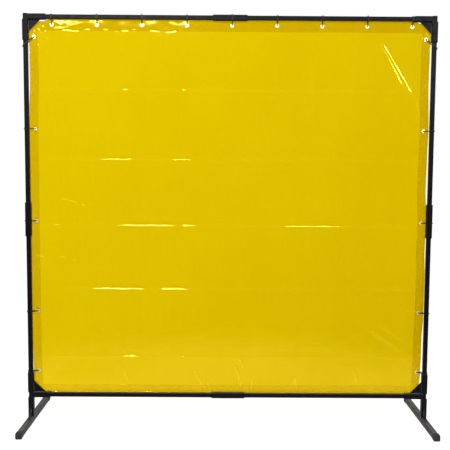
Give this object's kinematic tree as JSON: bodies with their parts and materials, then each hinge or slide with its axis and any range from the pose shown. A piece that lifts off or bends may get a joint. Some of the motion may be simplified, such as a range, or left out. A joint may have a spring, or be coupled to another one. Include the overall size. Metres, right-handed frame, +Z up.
{
  "type": "welding curtain screen",
  "caption": "Free-standing see-through yellow curtain tied by its grommets inside a knock-down frame of square tube on cross feet, to shield bystanders from welding glare.",
  "frame": {"origin": "on the floor, midway between the four foot caps", "axes": "+Z up, +X to the right across the screen seen from the front, +Y from the front to the back; the curtain hangs behind the frame mid-plane"},
  "size_m": [1.8532, 0.545, 1.8602],
  "materials": {
    "powder_coat": "satin black powder coat on steel tube",
    "foot_rubber": "matte black moulded",
    "plug_plastic": "matte black moulded",
    "curtain_film": "glossy see-through yellow vinyl film",
    "grommet_brass": "polished",
    "tie_nylon": "matte black nylon",
    "spring_steel": "plated"
  },
  "bodies": {
    "screen": {"left_post_lower": "powder_coat", "left_post_upper": "powder_coat", "right_post_lower": "powder_coat", "right_post_upper": "powder_coat", "left_post_coupler": "powder_coat", "right_post_coupler": "powder_coat", "top_rail_left": "powder_coat", "top_rail_right": "powder_coat", "bottom_rail_left": "powder_coat", "bottom_rail_right": "powder_coat", "top_rail_coupler": "powder_coat", "bottom_rail_coupler": "powder_coat", "top_left_bracket_sleeve": "powder_coat", "top_right_bracket_sleeve": "powder_coat", "bottom_left_bracket_sleeve": "powder_coat", "bottom_right_bracket_sleeve": "powder_coat", "top_left_bracket_arm": "powder_coat", "top_right_bracket_arm": "powder_coat", "bottom_left_bracket_arm": "powder_coat", "bottom_right_bracket_arm": "powder_coat", "top_left_bracket_gusset": "powder_coat", "top_right_bracket_gusset": "powder_coat", "bottom_left_bracket_gusset": "powder_coat", "bottom_right_bracket_gusset": "powder_coat", "left_foot_bar": "powder_coat", "right_foot_bar": "powder_coat", "left_foot_socket": "powder_coat", "right_foot_socket": "powder_coat", "left_foot_gussets": "powder_coat", "right_foot_gussets": "powder_coat", "left_front_foot_cap": "foot_rubber", "left_rear_foot_cap": "foot_rubber", "right_front_foot_cap": "foot_rubber", "right_rear_foot_cap": "foot_rubber", "left_post_plug": "plug_plastic", "right_post_plug": "plug_plastic", "curtain_panel": "curtain_film", "curtain_hem": "curtain_film", "top_grommets": "grommet_brass", "left_grommets": "grommet_brass", "right_grommets": "grommet_brass", "top_ties": "tie_nylon", "left_ties": "tie_nylon", "right_ties": "tie_nylon", "button_springs": "spring_steel"},
    "left_foot_button": {"left_foot_button": "spring_steel"},
    "right_foot_button": {"right_foot_button": "spring_steel"},
    "bottom_left_post_button": {"bottom_left_post_button": "spring_steel"},
    "bottom_right_post_button": {"bottom_right_post_button": "spring_steel"},
    "left_joint_button": {"left_joint_button": "spring_steel"},
    "right_joint_button": {"right_joint_button": "spring_steel"},
    "top_left_post_button": {"top_left_post_button": "spring_steel"},
    "top_right_post_button": {"top_right_post_button": "spring_steel"},
    "top_left_rail_button": {"top_left_rail_button": "spring_steel"},
    "top_right_rail_button": {"top_right_rail_button": "spring_steel"},
    "bottom_left_rail_button": {"bottom_left_rail_button": "spring_steel"},
    "bottom_right_rail_button": {"bottom_right_rail_button": "spring_steel"},
    "top_joint_button": {"top_joint_button": "spring_steel"},
    "bottom_joint_button": {"bottom_joint_button": "spring_steel"}
  },
  "joints": [
    {"name": "press_left_foot_button", "type": "slide", "parent": "screen", "child": "left_foot_button", "axis": [0, -1, 0], "range_m": [0, 0.0046], "stiffness_N_per_m": 400, "springref_m": -0.003},
    {"name": "press_right_foot_button", "type": "slide", "parent": "screen", "child": "right_foot_button", "axis": [0, -1, 0], "range_m": [0, 0.0046], "stiffness_N_per_m": 400, "springref_m": -0.003},
    {"name": "press_bottom_left_post_button", "type": "slide", "parent": "screen", "child": "bottom_left_post_button", "axis": [0, -1, 0], "range_m": [0, 0.0046], "stiffness_N_per_m": 400, "springref_m": -0.003},
    {"name": "press_bottom_right_post_button", "type": "slide", "parent": "screen", "child": "bottom_right_post_button", "axis": [0, -1, 0], "range_m": [0, 0.0046], "stiffness_N_per_m": 400, "springref_m": -0.003},
    {"name": "press_left_joint_button", "type": "slide", "parent": "screen", "child": "left_joint_button", "axis": [0, -1, 0], "range_m": [0, 0.0046], "stiffness_N_per_m": 400, "springref_m": -0.003},
    {"name": "press_right_joint_button", "type": "slide", "parent": "screen", "child": "right_joint_button", "axis": [0, -1, 0], "range_m": [0, 0.0046], "stiffness_N_per_m": 400, "springref_m": -0.003},
    {"name": "press_top_left_post_button", "type": "slide", "parent": "screen", "child": "top_left_post_button", "axis": [0, -1, 0], "range_m": [0, 0.0046], "stiffness_N_per_m": 400, "springref_m": -0.003},
    {"name": "press_top_right_post_button", "type": "slide", "parent": "screen", "child": "top_right_post_button", "axis": [0, -1, 0], "range_m": [0, 0.0046], "stiffness_N_per_m": 400, "springref_m": -0.003},
    {"name": "press_top_left_rail_button", "type": "slide", "parent": "screen", "child": "top_left_rail_button", "axis": [0, -1, 0], "range_m": [0, 0.0046], "stiffness_N_per_m": 400, "springref_m": -0.003},
    {"name": "press_top_right_rail_button", "type": "slide", "parent": "screen", "child": "top_right_rail_button", "axis": [0, -1, 0], "range_m": [0, 0.0046], "stiffness_N_per_m": 400, "springref_m": -0.003},
    {"name": "press_bottom_left_rail_button", "type": "slide", "parent": "screen", "child": "bottom_left_rail_button", "axis": [0, -1, 0], "range_m": [0, 0.0046], "stiffness_N_per_m": 400, "springref_m": -0.003},
    {"name": "press_bottom_right_rail_button", "type": "slide", "parent": "screen", "child": "bottom_right_rail_button", "axis": [0, -1, 0], "range_m": [0, 0.0046], "stiffness_N_per_m": 400, "springref_m": -0.003},
    {"name": "press_top_joint_button", "type": "slide", "parent": "screen", "child": "top_joint_button", "axis": [0, -1, 0], "range_m": [0, 0.0046], "stiffness_N_per_m": 400, "springref_m": -0.003},
    {"name": "press_bottom_joint_button", "type": "slide", "parent": "screen", "child": "bottom_joint_button", "axis": [0, -1, 0], "range_m": [0, 0.0046], "stiffness_N_per_m": 400, "springref_m": -0.003}
  ]
}
